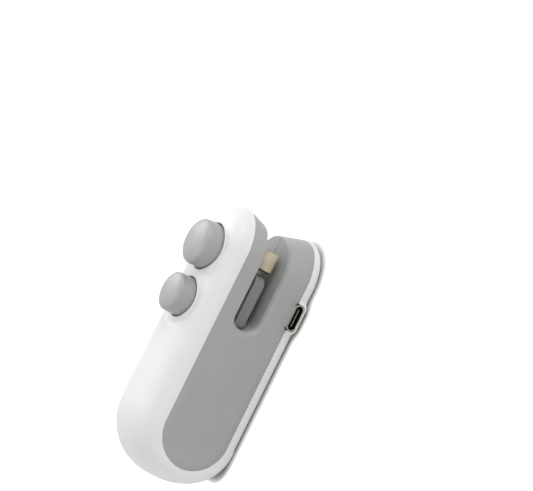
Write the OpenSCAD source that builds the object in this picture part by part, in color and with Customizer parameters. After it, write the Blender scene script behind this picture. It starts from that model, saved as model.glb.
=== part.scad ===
// Handheld bag sealer and cutter, rechargeable through a USB-C port.
// It rests on its flat back (Z = 0) with the buttons up. X runs from the round butt to the jaw tips,
// and -Y is the side with the charging port.

/* [Housing] */
// Length from the butt to the jaw tips
body_l = 91.4; // [91:0.2:92]
// Width over the side panels
body_w = 28; // [27.8:0.2:28.4]
// Height of the crowned top over the flat back
body_h = 35.8; // [35.6:0.1:36.2]
// Radius of the butt, seen from the side
butt_r = 19.3; // [19.1:0.1:19.5]
// Wall thickness of the moulded shell and core
wall = 1.8; // [1.6:0.1:1.9]
// Thickness of the shell under the core
base_t = 3.6; // [3.5:0.1:3.8]
// Depth of the shallow dish around the buttons
dish_t = 0.4; // [0.2:0.1:0.6]

/* [Core] */
// Height of the core that shows between base and crown
core_h = 24.6; // [24.4:0.1:24.8]
// Width of the soft band that frames each side panel
band_w = 1.9; // [1.5:0.1:2.2]
// Depth of the side panel's dish inside that band
panel_dish = 0.25; // [0.1:0.05:0.35]

/* [Slot] */
// Height of the slot between the jaws
slot_h = 9.9; // [9.8:0.1:10]
// Height of the slot's floor over the flat back
slot_z = 12.5; // [12.4:0.1:12.6]
// Place of the slot's round inner end
slot_x = 9.3; // [9.1:0.1:9.5]
// Depth of the flared lip around the slot
lip = 1.15; // [0.9:0.05:1.3]

/* [Buttons] */
// Diameter of the sealing button
seal_d = 15.6; // [15.4:0.1:15.8]
// Diameter of the cutting button
cut_d = 13.3; // [13.1:0.1:13.5]
// Gap between each button and its hole
button_gap = 0.45; // [0.4:0.05:0.5]
// Height of the button tops over the flat back
button_top = 41.8; // [41.6:0.1:42]
// Travel of the sealing button
seal_travel = 1.9; // [1.7:0.1:1.9]
// Travel of the cutting button
cut_travel = 2.8; // [2.5:0.1:2.8]

/* [Power] */
// Diameter of the battery cell
cell_d = 14; // [13.5:0.1:14]
// Length of the battery cell
cell_l = 38; // [36:0.5:38]
// Place of the charging port along the housing
port_x = 20.5; // [20:0.1:21]

/* [Hidden] */

$fn = 64;
eps = 0.01;
far = 60;                                   // more than any part reaches

// Housing: the outline of the butt and the two noses
half_w = body_w / 2;
spine_z = body_h - butt_r;                  // height of the butt's centre
butt_x = -body_l / 2 + butt_r;
nose_x = body_l / 2 - half_w;               // centre of the upper nose
low_nose_x = nose_x - 0.8;                  // the lower jaw is a little shorter
core_top = base_t + core_h;
core_r = core_h / 2;
core_z = base_t + core_r;                   // mid-height of the core
pill_x = butt_x - 0.7;                      // centre of the core's round end
crown_t = body_h - core_top;                // the crown's rise over the core
crown_p = 2.4;                              // fullness of the crown's curve
crown_flat = 0.4;
crown_wall = 3.2;                           // the crown is thick where the buttons pass
base_fillet = 2.45;
band_root = 8;                              // inner side of the swept band, inside the core's opening
core_fit = 0.05;

// Slot and jaws
slot_r = slot_h / 2;
slot_mid = slot_z + slot_r;
slot_end = slot_x + slot_r;
slot_top = slot_z + slot_h;
lip_w = 1.6;                                // width of the flared lip
lip_fade = 0.15;                            // how far the lip's round end is cut off at the slot's top
lip_x = 29.9;                               // centre of the lip's curve round the nose
jaw_wall = 1.8;
tip_r = 21;                                 // plan radius of the slanted jaw tips
top_lean = 19;
low_lean = 16;

// Buttons and what they carry
seal_x = 29.1;
cut_x = 10.9;
deck_z = core_top;                          // the button frame stands on the core
deck_t = 1.6;
deck_top = deck_z + deck_t;
tube_h = 3.2;
stem_gap = 0.05;
seal_stem_d = 5;
cut_stem_d = 4;
cap_wall = 1.3;
cap_roof = 38.6;                            // underside of the domes

// Sealing head
heater = [6.3, 16.4];
heater_x = 32.9;
wrap_t = 0.3;
heater_low = 14.6;
head_gap = 0.45;                            // between the heating head and the jaw's opening
holder_t = 1.75;
holder_top = deck_z - 0.2;
holder_low = holder_top - holder_t;
holder_x0 = seal_x - 3.4;
holder_half = 9.9;
holder_l = 12.2;
strip_y = 9.45;
strip_l = 8.6;
strip_t = 0.08;

// Cutter
guard_low = 15;
guard_x0 = slot_x + 0.3;
guard_x1 = 28.1;
guard_half = 9;
guard_gap = 0.15;
flange = 0.9;                               // the guard's rim on the upper jaw's floor
blade_x = 13;
blade_t = 0.4;
blade_half = 4;
blade_tip = guard_low + 0.1;
carrier = [5, 9, 8.4];
carrier_top = deck_z - 0.3;

// Power
cell_x = -34;
cell_z = 15.5;
usb_w = 8.94;
usb_h = 3.26;
usb_l = 7.35;
usb_z = 3.07;
usb_face = -15.5;
board_z = usb_z + usb_h / 2 + 0.05;
board = [20, 20, 0.8];
board_gap = 0.4;
post_in = 1.6;                              // from the board's edge to its posts
boss_w = 11.2;
boss_out = 15.8;
base_screw_at = [[-20, 7.5], [34, 6.5]];
screw_d = 1.96;
foot_in = 0.5;                              // how far posts start inside the base
frame_screw_at = [1.2, 7.5];

white = "#F2F2F0";
gray = "#979B99";
button_gray = "#B4B7B5";

function clamp01(t) = min(1, max(0, t));

// ---- The swept band of the shell: a crowned section that turns flat on its way round the butt ----
// a is the direction from the spine to the band: 90 is the top, 180 the butt, 270 the base

// Share of the way from the crowned top (0) to the base (1)
function turned(a) = (1 - sin(a)) / 2;
// The flat back opens only over the second half of that way
function flattened(a) = pow(clamp01(2 * turned(a) - 1), 2);
// Distance from the spine to the outside of the band
function reach(a) = a <= 180 ? butt_r : butt_r - (butt_r - spine_z) * pow((a - 180) / 90, 2);
// Where the side wall ends and the crown or the base fillet begins
function shoulder(a) = reach(a) - crown_t * (1 - turned(a)) - base_fillet * turned(a);

// One side of the section at a, as [half width, distance from the spine], from the wall to the middle
function half_section(a, inset, roof, steps) =
    let (w = half_w - inset,
         out = reach(a) - roof,
         low = shoulder(a),
         flat = crown_flat + (w - base_fillet + inset - crown_flat) * flattened(a),
         p = crown_p + (2 - crown_p) * flattened(a))
    [for (i = [0:steps])
        let (t = 90 * i / steps)
        [flat + (w - flat) * pow(cos(t), 2 / p), low + (out - low) * pow(sin(t), 2 / p)]];

function whole_section(a, inset, roof, steps) =
    let (side = half_section(a, inset, roof, steps), n = len(side))
    concat([[side[0][0], band_root]], side,
           [for (i = [n - 1:-1:0]) [-side[i][0], side[i][1]]],
           [[-side[0][0], band_root]]);

// Puts section points [y, distance] in the plane at direction a, through the spine point x
function placed(points, x, a) =
    [for (q = points) [x + q[1] * cos(a), q[0], spine_z + q[1] * sin(a)]];

// A closed skin over rings that all have the same number of points
module loft(rings) {
    n = len(rings[0]);
    last = len(rings) - 1;
    polyhedron(
        points = [for (r = rings) for (q = r) q],
        faces = concat(
            [[for (j = [n - 1:-1:0]) j]],
            [[for (j = [0:n - 1]) last * n + j]],
            [for (i = [0:last - 1]) for (j = [0:n - 1])
                let (k = (j + 1) % n)
                [i * n + j, i * n + k, (i + 1) * n + k]],
            [for (i = [0:last - 1]) for (j = [0:n - 1])
                let (k = (j + 1) % n)
                [i * n + j, (i + 1) * n + k, (i + 1) * n + j]]));
}

// The band from the upper nose round the butt to the lower nose; roof(a) is the wall at its middle
module band(inset, top_roof, steps, turn_step) {
    roof = function (a) inset == 0 ? 0 : top_roof + (wall - top_roof) * turned(a);
    loft(concat(
        [placed(whole_section(90, inset, roof(90), steps), nose_x, 90)],
        [for (a = [90:turn_step:270]) placed(whole_section(a, inset, roof(a), steps), butt_x, a)],
        [placed(whole_section(270, inset, roof(270), steps), low_nose_x, 270)]));
}

// The band's ends: its end section turned half round the nose
module nose(x, a, inset, roof, steps) {
    side = half_section(a, inset, roof, steps);
    last = side[len(side) - 1];
    up = sin(a);
    outline = concat([[0, spine_z + up * band_root], [side[0][0], spine_z + up * band_root]],
                     [for (q = side) [q[0], spine_z + up * q[1]]],
                     [[0, spine_z + up * last[1]]]);
    translate([x, 0, 0]) rotate([0, 0, -90]) rotate_extrude(angle = 180) polygon(outline);
}

module shell_blank() {
    band(0, 0, 9, 9);
    nose(nose_x, 90, 0, 0, 9);
    nose(low_nose_x, 270, 0, 0, 9);
}

module shell_hollow() {
    band(wall, crown_wall, 5, 18);
    nose(nose_x, 90, wall, crown_wall, 5);
    nose(low_nose_x, 270, wall, wall, 5);
}

// The opening that the core slides into
module core_opening() {
    translate([pill_x, 0, core_z]) rotate([90, 0, 0])
        cylinder(r = core_r + core_fit, h = far, center = true, $fn = 96);
    translate([pill_x, -far / 2, base_t - core_fit]) cube([2 * far, far, core_h + 2 * core_fit]);
}

// The dish follows the crown: what lies above a lowered copy of the top, inside a pill round the buttons
module button_dish() {
    r = 10;
    half = 9;
    difference() {
        translate([0, 0, core_top]) {
            translate([cut_x, -half, 0]) cube([seal_x - cut_x, 2 * half, far]);
            intersection() {
                union() for (x = [cut_x, seal_x]) translate([x, 0, 0]) cylinder(r = r, h = far);
                translate([-half, -half, 0]) cube([far, 2 * half, far]);
            }
        }
        translate([0, 0, -dish_t]) {
            translate([cut_x - r - 1, 0, spine_z]) rotate([90, 0, 90])
                linear_extrude(nose_x - cut_x + r + 1) polygon(whole_section(90, 0, 0, 9));
            nose(nose_x, 90, 0, 0, 9);
        }
    }
}

// The lip that the base swells into under and beside the port
module port_boss() {
    r = 0.9;
    flat = boss_w / 2 - 1.8;
    translate([port_x, 0, 0]) difference() {
        linear_extrude(base_t - core_fit) {
            polygon([[-boss_w / 2, -half_w + 0.4], [-flat, -boss_out], [flat, -boss_out],
                     [boss_w / 2, -half_w + 0.4], [boss_w / 2, -half_w + wall], [-boss_w / 2, -half_w + wall]]);
        }
        translate([0, -boss_out, 0]) rotate([0, 90, 0]) difference() {
            cube([2 * r, 2 * r, boss_w + 1], center = true);
            translate([-r, r, 0]) cylinder(r = r, h = boss_w + 2, center = true);
        }
    }
}

// Room for the port's metal shell, round at its lower corners and square at its top
module port_room(gap, top) {
    w = usb_w / 2 + gap;
    low = usb_z - usb_h / 2 - 0.04;
    r = 1.2;
    translate([port_x, usb_face - 1, 0]) rotate([90, 0, 0]) mirror([0, 0, 1])
        linear_extrude(usb_l + 1.5) {
            for (side = [-1, 1]) translate([side * (w - r), low + r]) circle(r = r);
            translate([-w + r, low]) square([2 * (w - r), r]);
            translate([-w, low + r]) square([2 * w, top - low - r]);
        }
}

// Places a child at each screw through the base, on both sides
module at_base_screws() {
    for (p = base_screw_at) for (side = [-1, 1])
        translate([p[0], side * p[1], 0]) children();
}

// The four posts that the charge board stands on
module board_posts() {
    for (sx = [-1, 1]) for (sy = [-1, 1])
        translate([port_x + sx * (board[0] / 2 - post_in), sy * (board[1] / 2 - post_in), foot_in])
            cylinder(d = 2.2, h = board_z - foot_in);
}

module outer_shell() {
    color(white) difference() {
        union() {
            difference() {
                shell_blank();
                shell_hollow();
            }
            port_boss();
            at_base_screws() translate([0, 0, foot_in]) cylinder(d = 5.4, h = base_t - foot_in);
            board_posts();
        }
        difference() {
            core_opening();
            board_posts();
        }
        button_dish();
        translate([seal_x, 0, core_top + 1]) cylinder(d = seal_d + 2 * button_gap, h = far);
        translate([cut_x, 0, core_top + 1]) cylinder(d = cut_d + 2 * button_gap, h = far);
        port_room(0.2, core_top);
        at_base_screws() {
            translate([0, 0, -1]) cylinder(d = 4.4, h = 2.5);
            cylinder(d = 2.3, h = far / 2);
        }
    }
}

// ---- The core: two mouldings that meet at Y = 0 ----

// How the side panel stands against body_w at a distance in from its edge: band, crest and dish
panel_curve = [[0, 0.35], [0.5, 0.18], [1.1, 0.06], [band_w, 0], [3.3, 0.4 * panel_dish],
               [4.8, 0.85 * panel_dish], [6.4, panel_dish]];

// Near half of the section across the core, as [distance from the middle, height]
core_outline = concat(
    [[0, base_t]],
    [for (q = panel_curve) [half_w - q[1], base_t + q[0]]],
    [for (i = [len(panel_curve) - 1:-1:0])
        [half_w - panel_curve[i][1], core_top - panel_curve[i][0]]],
    [[0, core_top]]);

// The round end turns the same curve about the Y axis
module core_end() {
    translate([pill_x, 0, core_z]) rotate([90, 0, 0]) rotate([0, 0, 90]) rotate_extrude(angle = 180)
        polygon(concat([[0, 0]], [[core_r, 0]],
                       [for (q = panel_curve) [core_r - q[0], half_w - q[1]]],
                       [[0, half_w - panel_dish]]));
}

module core_run(x0, x1) {
    translate([x0, 0, 0]) rotate([90, 0, 90]) linear_extrude(x1 - x0)
        polygon([for (q = core_outline) [-q[0], q[1]]]);
}

// A jaw: the run with its round nose, cut back by a leaning cylinder at the tip
module jaw(x_end, z0, z1, tip, lean) {
    intersection() {
        union() {
            core_run(0, x_end);
            translate([x_end, 0, 0]) rotate([0, 0, -90]) rotate_extrude(angle = 90) polygon(core_outline);
        }
        translate([-1, -far / 2, z0]) cube([far, far, z1 - z0]);
        union() {
            translate([-2, -far / 2, -1]) cube([30, far, far]);
            translate(tip) rotate([0, lean, 0]) translate([-tip_r, 0, 0])
                cylinder(r = tip_r, h = far, center = true, $fn = 96);
        }
    }
}

module core_blank() {
    core_end();
    core_run(pill_x, 0);
    jaw(nose_x, slot_mid, core_top, [nose_x + half_w, 0, core_top], top_lean);
    jaw(low_nose_x, base_t, slot_mid, [low_nose_x + half_w, 0, base_t], -low_lean);
}

// The slot and its flared lip, which follows the slot's floor, fades out above its inner end and turns
// round the nose with the lower jaw
module slot_void() {
    y0 = half_w - lip_w;
    face_r = slot_r + lip;
    lip_outline = [[y0, slot_z], [y0 + 2 * lip_w, slot_z - 2 * lip],
                   [y0 + 2 * lip_w, slot_mid], [y0, slot_mid]];
    translate([slot_end, 0, slot_mid]) rotate([90, 0, 0]) cylinder(r = slot_r, h = 2 * far, center = true);
    intersection() {
        translate([slot_end, -y0, slot_mid]) rotate([90, 0, 0])
            cylinder(r1 = slot_r, r2 = slot_r + 2 * lip, h = 2 * lip_w);
        translate([slot_end, 0, slot_top + lip_fade - face_r]) rotate([90, 0, 0])
            cylinder(r = face_r, h = far);
        translate([0, -far, 0]) cube([far, far, slot_top]);
    }
    translate([slot_end, -far / 2, slot_z]) cube([far, far, slot_h]);
    translate([slot_end, 0, 0]) rotate([90, 0, 90]) linear_extrude(lip_x - slot_end)
        polygon([for (q = lip_outline) [-q[0], q[1]]]);
    translate([lip_x, 0, 0]) rotate([0, 0, -90]) rotate_extrude(angle = 90) polygon(lip_outline);
}

// Space inside the core for the cell, the board and the moving heads
module core_hollow() {
    low = base_t + wall;
    high = core_top - wall;
    reach_y = half_w - wall - panel_dish;
    back_x = slot_x - jaw_wall;
    translate([pill_x, 0, core_z]) rotate([90, 0, 0])
        cylinder(r = core_r - wall, h = 2 * reach_y, center = true);
    translate([pill_x, -reach_y, low]) cube([back_x - pill_x, 2 * reach_y, high - low]);
    translate([0, 0, low]) {
        translate([back_x - 1, -reach_y, 0])
            cube([low_nose_x - back_x + 1, 2 * reach_y, slot_z - jaw_wall - low]);
        intersection() {
            translate([low_nose_x, 0, 0]) cylinder(r = reach_y, h = slot_z - jaw_wall - low);
            translate([low_nose_x - 1, -far / 2, 0]) cube([9.6, far, far]);
        }
    }
    deck_room();
}

// The upper jaw is a tray, open to the button frame above it
module deck_room() {
    r = 10.2;
    translate([0, 0, slot_top + jaw_wall]) {
        translate([4, -r, 0]) cube([low_nose_x - 4, 2 * r, far / 2]);
        intersection() {
            translate([low_nose_x, 0, 0]) cylinder(r = r, h = far / 2);
            translate([low_nose_x - 1, -far / 2, 0]) cube([10.4, far, far]);
        }
    }
}

// Ribs that cradle the cell
module cell_ribs() {
    for (x = [-26, -5]) difference() {
        translate([x, -half_w + wall, base_t + 1]) cube([1.4, half_w - wall - 1, core_h - 2]);
        translate([x - 1, 0, cell_z]) rotate([0, 90, 0]) cylinder(d = cell_d + 0.2, h = 4);
        translate([x - 1, -3, cell_z]) cube([4, 6, 20]);
        translate([x - 1, -half_w + 0.5, base_t + 1.5]) cube([4, 4, 3.5]);
    }
}

// Openings in the upper jaw that the heating head and the blade's guard pass through
module head_openings() {
    w = heater[0] + 2 * head_gap;
    translate([heater_x - w / 2, -guard_half, slot_z + 2]) cube([w, 2 * guard_half, slot_h + 2]);
    translate([guard_x0 - guard_gap, -guard_half - guard_gap, slot_z + 5])
        cube([guard_x1 - guard_x0 + 2 * guard_gap, 2 * (guard_half + guard_gap), slot_h]);
}

// One half of the core, on the near side
module core_half() {
    difference() {
        union() {
            difference() {
                core_blank();
                core_hollow();
            }
            cell_ribs();
            for (p = base_screw_at)
                translate([p[0], -p[1], base_t + foot_in]) cylinder(d = 4.6, h = 4.4);
            translate([frame_screw_at[0], -frame_screw_at[1], core_top - 8]) cylinder(d = 4.4, h = 7.5);
        }
        slot_void();
        head_openings();
        translate([blade_x - 0.6, -blade_half - 0.8, slot_z - 1]) cube([1.2, 2 * blade_half + 1.6, 2]);
        translate([port_x - board[0] / 2 - board_gap, -board[1] / 2 - board_gap, base_t - 1])
            cube([board[0] + 2 * board_gap, board[1] + 2 * board_gap, 4]);
        for (p = base_screw_at) translate([p[0], -p[1], base_t - 1]) cylinder(d = 2, h = 5.4);
        translate([frame_screw_at[0], -frame_screw_at[1], core_top - 7]) cylinder(d = 2, h = far / 2);
        translate([-far, 0, -1]) cube([2 * far, far, far]);
    }
}

module core_near() {
    color(gray) difference() {
        core_half();
        port_room(0.2, usb_z + usb_h / 2 + 0.2);
    }
}

module core_far() {
    color("#A3A7A5") mirror([0, 1, 0]) core_half();
}

// ---- Screws ----

// A screw with its head's seat at the origin and its shank going up
module screw(d, length, head_d, head_h) {
    difference() {
        union() {
            translate([0, 0, -head_h]) cylinder(d = head_d, h = head_h);
            cylinder(d = d, h = length);
        }
        translate([0, 0, -head_h - eps]) cylinder(d = 1.7, h = 0.7, $fn = 6);
    }
}

module base_screws() {
    color("silver") at_base_screws() translate([0, 0, 1.5]) screw(screw_d, 6.2, 3.8, 1.3);
}

module frame_screws() {
    color("silver") for (side = [-1, 1])
        translate([frame_screw_at[0], side * frame_screw_at[1], deck_top]) mirror([0, 0, 1])
            screw(screw_d, 7.6, 3.6, 1.1);
}

// ---- The frame that guides both buttons ----

module button_frame() {
    r = 11.4;
    color("#E4E4E0") difference() {
        union() {
            translate([-1.5, -r, deck_z]) cube([low_nose_x + 1.5, 2 * r, deck_t]);
            translate([low_nose_x, 0, deck_z]) cylinder(r = r, h = deck_t);
            translate([seal_x, 0, deck_z]) cylinder(d = 8, h = deck_t + tube_h);
            translate([cut_x, 0, deck_z]) cylinder(d = 6.6, h = deck_t + tube_h);
        }
        translate([seal_x, 0, 0]) cylinder(d = seal_stem_d + 2 * stem_gap, h = far);
        translate([cut_x, 0, 0]) cylinder(d = cut_stem_d + 2 * stem_gap, h = far);
        for (side = [-1, 1])
            translate([frame_screw_at[0], side * frame_screw_at[1], 0]) cylinder(d = 2.2, h = far);
    }
}

// ---- Buttons, stems and springs ----

// A hollow domed cap turned from one profile: r is its radius, side_top the height where the dome
// starts and foot the height of the skirt's lower edge; a socket under the dome takes the stem
module cap(r, side_top, foot, stem_d) {
    rise = button_top - side_top;
    dome_p = 2.2;
    steps = 9;
    inner = r - cap_wall;
    socket = stem_d / 2 + 1.5;
    rotate_extrude(convexity = 4) polygon(concat(
        [[r, foot]],
        [for (i = [0:steps - 1])
            let (t = 90 * i / steps)
            [r * pow(cos(t), 2 / dome_p), side_top + rise * pow(sin(t), 2 / dome_p)]],
        [[0, button_top], [0, cap_roof], [stem_d / 2, cap_roof], [stem_d / 2, cap_roof - 2.4],
         [socket, cap_roof - 2.4], [socket, cap_roof], [inner, cap_roof], [inner, foot]]));
}

module seal_button() {
    color(button_gray) translate([seal_x, 0, 0])
        cap(seal_d / 2, button_top - 2.4, deck_top + seal_travel + 0.3, seal_stem_d);
}

module cut_button() {
    color(button_gray) translate([cut_x, 0, 0])
        cap(cut_d / 2, button_top - 1.9, deck_top + cut_travel + 0.3, cut_stem_d);
}

module seal_plunger() {
    color("#DDDDD8") translate([seal_x, 0, holder_low]) cylinder(d = seal_stem_d, h = cap_roof - holder_low);
}

module cut_plunger() {
    color("#DDDDD8") translate([cut_x, 0, carrier_top]) cylinder(d = cut_stem_d, h = cap_roof - carrier_top);
}

// A coil spring of round wire, with its wire's ends resting between z0 and z1
module coil_spring(z0, z1, mean_r, wire_r, turns) {
    around = 14;
    sides = 6;
    rings = turns * around;
    rise = z1 - z0 - 2 * wire_r;
    loft([for (i = [0:rings])
        let (a = 360 * i / around, z = z0 + wire_r + rise * i / rings)
        [for (j = [0:sides - 1])
            let (b = -360 * j / sides, r = mean_r + wire_r * cos(b))
            [r * cos(a), r * sin(a), z + wire_r * sin(b)]]]);
}

module seal_spring() {
    color("silver") translate([seal_x, 0, 0]) coil_spring(deck_top, cap_roof, 5, 0.35, 5);
}

module cut_spring() {
    color("silver") translate([cut_x, 0, 0]) coil_spring(deck_top, cap_roof, 4.2, 0.3, 5);
}

// ---- Sealing head ----

// Its plate is rounded off towards the jaw's tip, as the tray that it slides in is
module heater_holder() {
    color("#3A3A3C") difference() {
        intersection() {
            translate([holder_x0, -holder_half, holder_low]) cube([holder_l, 2 * holder_half, holder_t]);
            union() {
                translate([0, -far / 2, 0]) cube([low_nose_x, far, far]);
                translate([low_nose_x - 0.6, 0, 0]) cylinder(r = holder_half + 0.05, h = far);
            }
        }
        translate([seal_x, 0, 0]) cylinder(d = seal_stem_d, h = far);
    }
}

module heater_block() {
    color("#5A544C") translate([heater_x - heater[0] / 2, -heater[1] / 2, heater_low + wrap_t])
        cube([heater[0], heater[1], holder_low - heater_low - wrap_t]);
}

// Glass-cloth tape that runs down one face of the block, under it and up the other
module heater_wrap() {
    w = heater[0] + 0.3;
    h = holder_low - 2.2 - heater_low;
    color("#CFC4AE") difference() {
        translate([heater_x - w / 2, -heater[1] / 2 - wrap_t, heater_low]) cube([w, heater[1] + 2 * wrap_t, h]);
        translate([heater_x - w, -heater[1] / 2, heater_low + wrap_t]) cube([2 * w, heater[1], h]);
    }
}

// Copper strips on the jaw that the holder closes on at the end of its stroke
module contact_strips() {
    color("#B87333") for (side = [-1, 1])
        translate([holder_x0 - 1.1, side * strip_y - 0.4, slot_top + jaw_wall])
            cube([strip_l, 0.8, strip_t]);
}

// ---- Cutter ----

// Outline of the guard from the side: round towards the slot's end, soft at its lower corner
module guard_outline() {
    r = 2.6;
    intersection() {
        union() {
            translate([slot_end, slot_mid]) circle(r = slot_r - 0.3);
            translate([slot_end, slot_z]) square([guard_x1 - slot_end - r, 20]);
            translate([guard_x0, slot_mid]) square([guard_x1 - guard_x0, 20]);
            translate([guard_x1 - r, guard_low + r]) circle(r = r);
            translate([guard_x1 - r, guard_low + r]) square([r, 20]);
        }
        translate([0, guard_low]) square([far, slot_top + jaw_wall - guard_low]);
    }
}

module blade_guard() {
    color("#7C8082") difference() {
        union() {
            intersection() {
                rotate([90, 0, 0]) linear_extrude(2 * guard_half, center = true) guard_outline();
                union() {
                    translate([0, -guard_half, 0]) cube([guard_x1 - 3, 2 * guard_half, far]);
                    for (side = [-1, 1]) translate([guard_x1 - 5, side * 4, 0]) cylinder(r = 5, h = far);
                }
            }
            translate([guard_x0 - flange, -guard_half - flange, slot_top + jaw_wall])
                cube([holder_x0 - 1.5 - guard_x0 + flange, 2 * (guard_half + flange), 0.6]);
        }
        translate([guard_x0 + 0.7, -carrier[1] / 2 - 0.25, guard_low + 1.5])
            cube([carrier[0] + 0.5, carrier[1] + 0.5, far]);
        translate([blade_x - 0.5, -blade_half - 0.5, 0]) cube([1, 2 * blade_half + 1, far]);
    }
}

module blade_carrier() {
    color("#2E2E30") difference() {
        translate([guard_x0 + 0.95, -carrier[1] / 2, carrier_top - carrier[2]]) cube(carrier);
        translate([blade_x - blade_t / 2, -blade_half, carrier_top - carrier[2] - 1])
            cube([blade_t, 2 * blade_half, 3]);
    }
}

// A pointed blade that crosses the slot
module blade() {
    top = carrier_top - carrier[2] + 2;
    color("silver") translate([blade_x - blade_t / 2, 0, 0]) rotate([90, 0, 90]) linear_extrude(blade_t)
        polygon([[0, blade_tip], [blade_half, blade_tip + 2.6], [blade_half, top],
                 [-blade_half, top], [-blade_half, blade_tip + 2.6]]);
}

// ---- Power ----

module battery_cell() {
    color("#3C6EA8") translate([cell_x, 0, cell_z]) rotate([0, 90, 0]) {
        cylinder(d = cell_d, h = cell_l - 1.2);
        cylinder(d = 5.6, h = cell_l);
    }
}

module battery_tabs() {
    color("silver") for (x = [cell_x - 0.3, cell_x + cell_l])
        translate([x, -2.5, cell_z - 5]) cube([0.3, 5, 10]);
}

module charge_board() {
    color("#1E6B3C") translate([port_x - board[0] / 2, -board[1] / 2, board_z]) cube(board);
}

// What is soldered on the board: [x, y, length, width, height]
module board_parts() {
    parts = [[-5, 4, 5, 4, 1.6], [2.5, 5, 4, 4, 1.0], [6, -2, 2.5, 5, 2.2], [-6, -4, 2, 1.2, 0.6],
             [-2, -1, 2, 1.2, 0.6], [1, -4, 2, 1.2, 0.6], [0, 0.8, 1.2, 2, 0.6]];
    color("#222222") for (p = parts)
        translate([port_x + p[0] - p[2] / 2, p[1] - p[3] / 2, board_z + board[2]]) cube([p[2], p[3], p[4]]);
}

// Outline of the USB-C shell, inset by t
module usb_outline(t) {
    r = usb_h / 2 - t;
    for (side = [-1, 1]) translate([side * (usb_w / 2 - usb_h / 2), 0]) circle(r = r);
    square([usb_w - usb_h, 2 * r], center = true);
}

module usb_socket() {
    t = 0.3;
    color("#C9C2B4") translate([port_x, usb_face + usb_l, usb_z]) rotate([90, 0, 0]) {
        difference() {
            linear_extrude(usb_l) usb_outline(0);
            translate([0, 0, 1]) linear_extrude(usb_l) usb_outline(t);
        }
    }
}

module usb_tongue() {
    color("#1C1C1E") translate([port_x - 3.35, usb_face + 0.5, usb_z - 0.35])
        cube([6.7, usb_l - 1.5, 0.7]);
}

// A point on the smooth curve through four neighbours of a route
function eased(p0, p1, p2, p3, t) =
    0.5 * (2 * p1 + (p2 - p0) * t + (2 * p0 - 5 * p1 + 4 * p2 - p3) * t * t
           + (3 * p1 - p0 - 3 * p2 + p3) * t * t * t);

function smooth_route(r, parts) =
    let (n = len(r))
    concat([for (i = [0:n - 2]) for (k = [0:parts - 1])
               eased(r[max(0, i - 1)], r[i], r[i + 1], r[min(n - 1, i + 2)], k / parts)],
           [r[n - 1]]);

// A wire of diameter d along a route
module wire(route, d) {
    path = smooth_route(route, 3);
    n = len(path);
    loft([for (i = [0:n - 1])
        let (run = path[min(n - 1, i + 1)] - path[max(0, i - 1)],
             ahead = run / norm(run),
             side = cross(ahead, [0.3, 1, 0.2]),
             u = side / norm(side),
             v = cross(ahead, u))
        [for (j = [0:7]) path[i] + d / 2 * (cos(45 * j) * u - sin(45 * j) * v)]]);
}

// Leads from the cell to the board, and from the board up to the contact strips
module wire_harness() {
    front_lead = [[4.75, -1.5, 12], [5.6, -3, 8.6], [9, -3.5, 7.2], [12.5, -3.5, 6]];
    back_lead = [[-34.75, 1.5, 11.5], [-35, 6, 9.9], [-32, 9.5, 8.4], [-28, 10.7, 7.4], [-10, 10.7, 7.2],
                 [1, 10.7, 7], [6, 9, 6.4], [9.5, 7, 6.1], [12.5, 6, 6]];
    strip_lead = [[13, -9.2, 6], [8.5, -10.6, 7.4], [5.8, -11.2, 9.5], [5.7, -11.2, 14], [5.7, -11.2, 19],
                  [5.7, -9.9, 24], [8, -9.6, 25.5], [14, -9.6, 25.6], [22, -9.6, 25.6], [25, -strip_y, 24.75]];
    d = 0.9;
    color("#B03030") {
        wire(front_lead, d);
        wire(back_lead, d);
        for (side = [0, 1]) mirror([0, side, 0]) wire(strip_lead, d);
    }
}

outer_shell();
core_near();
core_far();
base_screws();
button_frame();
frame_screws();
seal_button();
seal_plunger();
seal_spring();
heater_holder();
heater_block();
heater_wrap();
cut_button();
cut_plunger();
cut_spring();
blade_carrier();
blade();
blade_guard();
contact_strips();
battery_cell();
battery_tabs();
charge_board();
board_parts();
usb_socket();
usb_tongue();
wire_harness();
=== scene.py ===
"""Handheld bag sealer with cutter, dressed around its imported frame.

Sizes are in millimetres, and turn into metres where a mesh, a lamp or a node takes them.
"""
import math

import bmesh
import bpy
import numpy as np
from mathutils import Matrix, Vector


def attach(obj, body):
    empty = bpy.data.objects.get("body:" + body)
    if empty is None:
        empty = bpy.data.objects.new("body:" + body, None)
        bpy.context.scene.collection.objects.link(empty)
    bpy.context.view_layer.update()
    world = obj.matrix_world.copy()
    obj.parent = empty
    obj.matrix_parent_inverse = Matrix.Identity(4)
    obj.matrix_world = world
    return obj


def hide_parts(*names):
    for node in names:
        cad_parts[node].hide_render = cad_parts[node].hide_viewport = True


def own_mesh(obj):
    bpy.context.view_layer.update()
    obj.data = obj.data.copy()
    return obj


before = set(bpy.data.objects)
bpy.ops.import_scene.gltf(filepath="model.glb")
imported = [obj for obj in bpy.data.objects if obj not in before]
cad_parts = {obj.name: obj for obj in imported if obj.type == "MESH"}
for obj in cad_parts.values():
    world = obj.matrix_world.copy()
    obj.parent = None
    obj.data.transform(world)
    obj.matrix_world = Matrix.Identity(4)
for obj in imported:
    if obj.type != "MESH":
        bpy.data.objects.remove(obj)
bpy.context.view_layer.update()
scene = bpy.context.scene


# ---- Camera ----
# A long lens looks down at 28 degrees on the side with the charging port. It is rolled, so that the
# jaws point to the upper right.
mm = 0.001
sensor_w = 36.0
view_width = 173.2
stand_off = 4500.0
sight = 20000.0
look_at = Vector((37.55, 6.65, 12.75))
elevation = math.radians(28)
roll = math.radians(63.7)

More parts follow.
